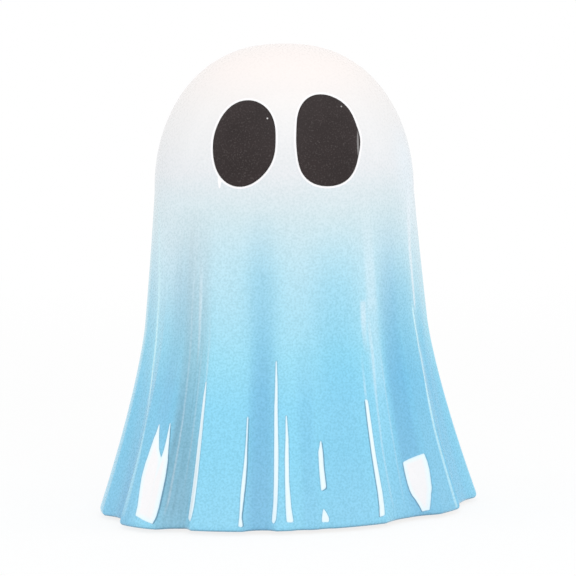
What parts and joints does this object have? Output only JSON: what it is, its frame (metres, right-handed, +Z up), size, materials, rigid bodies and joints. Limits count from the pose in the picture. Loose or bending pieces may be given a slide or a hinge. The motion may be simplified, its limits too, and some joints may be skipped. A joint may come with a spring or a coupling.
{
  "type": "wooden ghost statue",
  "caption": "Free-standing tabletop ghost: a draped sheet over a round head with oval eyes and a flared, pleated hem, carved from glued boards and lacquered.",
  "frame": {"origin": "on the surface the statue stands on, under the middle of the hem's outline", "axes": "+Z up, -Y the way the face looks, +X towards the right of someone facing the statue"},
  "size_m": [0.1644, 0.1335, 0.2015],
  "materials": {
    "lacquer_sky_blue": "sprayed colour under gloss lacquer",
    "lacquer_light_blue": "sprayed colour under gloss lacquer",
    "lacquer_pale_blue": "sprayed colour under gloss lacquer",
    "lacquer_cool_white": "sprayed colour under gloss lacquer",
    "lacquer_warm_white": "sprayed colour under gloss lacquer",
    "eye_black": "satin black stain",
    "bare_beech": "bare",
    "grey_felt": "pressed felt"
  },
  "bodies": {
    "root": {"hem_board": "lacquer_sky_blue", "lower_skirt_board": "lacquer_sky_blue", "upper_skirt_board": "lacquer_light_blue", "waist_board": "lacquer_light_blue", "chest_board": "lacquer_pale_blue", "neck_board": "lacquer_cool_white", "face_board": "lacquer_warm_white", "crown_board": "lacquer_warm_white", "left_eye": "eye_black", "right_eye": "eye_black", "left_index_rod": "bare_beech", "right_index_rod": "bare_beech", "front_left_felt_pad": "grey_felt", "front_right_felt_pad": "grey_felt", "rear_left_felt_pad": "grey_felt", "rear_right_felt_pad": "grey_felt"}
  },
  "joints": []
}
